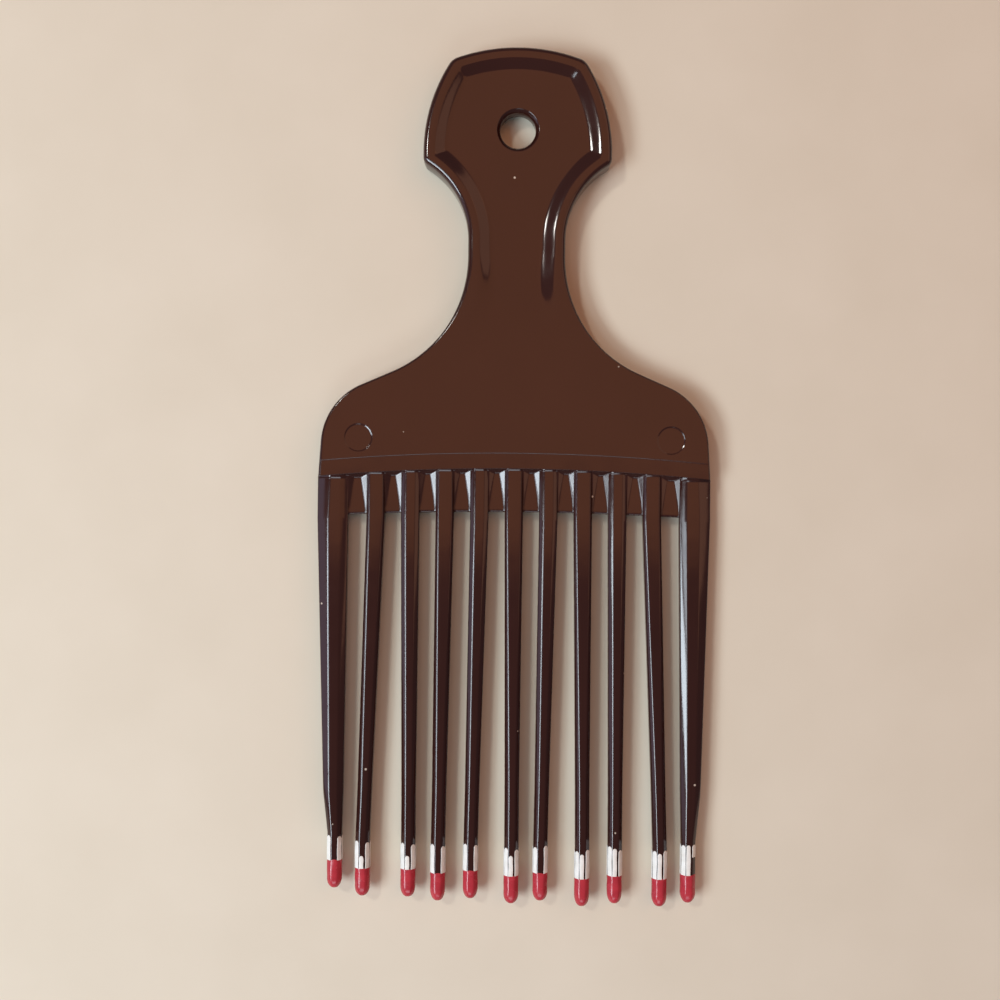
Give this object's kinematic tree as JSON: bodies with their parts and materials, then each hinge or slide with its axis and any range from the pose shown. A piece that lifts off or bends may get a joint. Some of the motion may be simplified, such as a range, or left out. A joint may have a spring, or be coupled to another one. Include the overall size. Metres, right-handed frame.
{
  "type": "afro pick",
  "caption": "Flat hair pick in dark brown gloss plastic: dished handle with a hang hole, flared plate, scooped web and long tapered teeth with red dipped tips.",
  "frame": {"origin": "middle of the box at the level of the back rim, the pick lying on its back", "axes": "+X to the right seen from the front, +Y along the pick towards the head, +Z out of the front face"},
  "size_m": [0.0758, 0.165, 0.0056],
  "materials": {
    "moulding": "moulded dark brown plastic, glossy, with fine handling scratches",
    "red_coat": "dipped red coat, glossy and slightly lumpy",
    "white_undercoat": "thin white undercoat, worn off along the facet edges"
  },
  "bodies": {
    "root": {"handle": "moulding", "tooth_01": "moulding", "tip_01": "red_coat", "undercoat_01": "white_undercoat", "tooth_02": "moulding", "tip_02": "red_coat", "undercoat_02": "white_undercoat", "tooth_03": "moulding", "tip_03": "red_coat", "undercoat_03": "white_undercoat", "tooth_04": "moulding", "tip_04": "red_coat", "undercoat_04": "white_undercoat", "tooth_05": "moulding", "tip_05": "red_coat", "undercoat_05": "white_undercoat", "tooth_06": "moulding", "tip_06": "red_coat", "undercoat_06": "white_undercoat", "tooth_07": "moulding", "tip_07": "red_coat", "undercoat_07": "white_undercoat", "tooth_08": "moulding", "tip_08": "red_coat", "undercoat_08": "white_undercoat", "tooth_09": "moulding", "tip_09": "red_coat", "undercoat_09": "white_undercoat", "tooth_10": "moulding", "tip_10": "red_coat", "undercoat_10": "white_undercoat", "tooth_11": "moulding", "tip_11": "red_coat", "undercoat_11": "white_undercoat"}
  },
  "joints": []
}
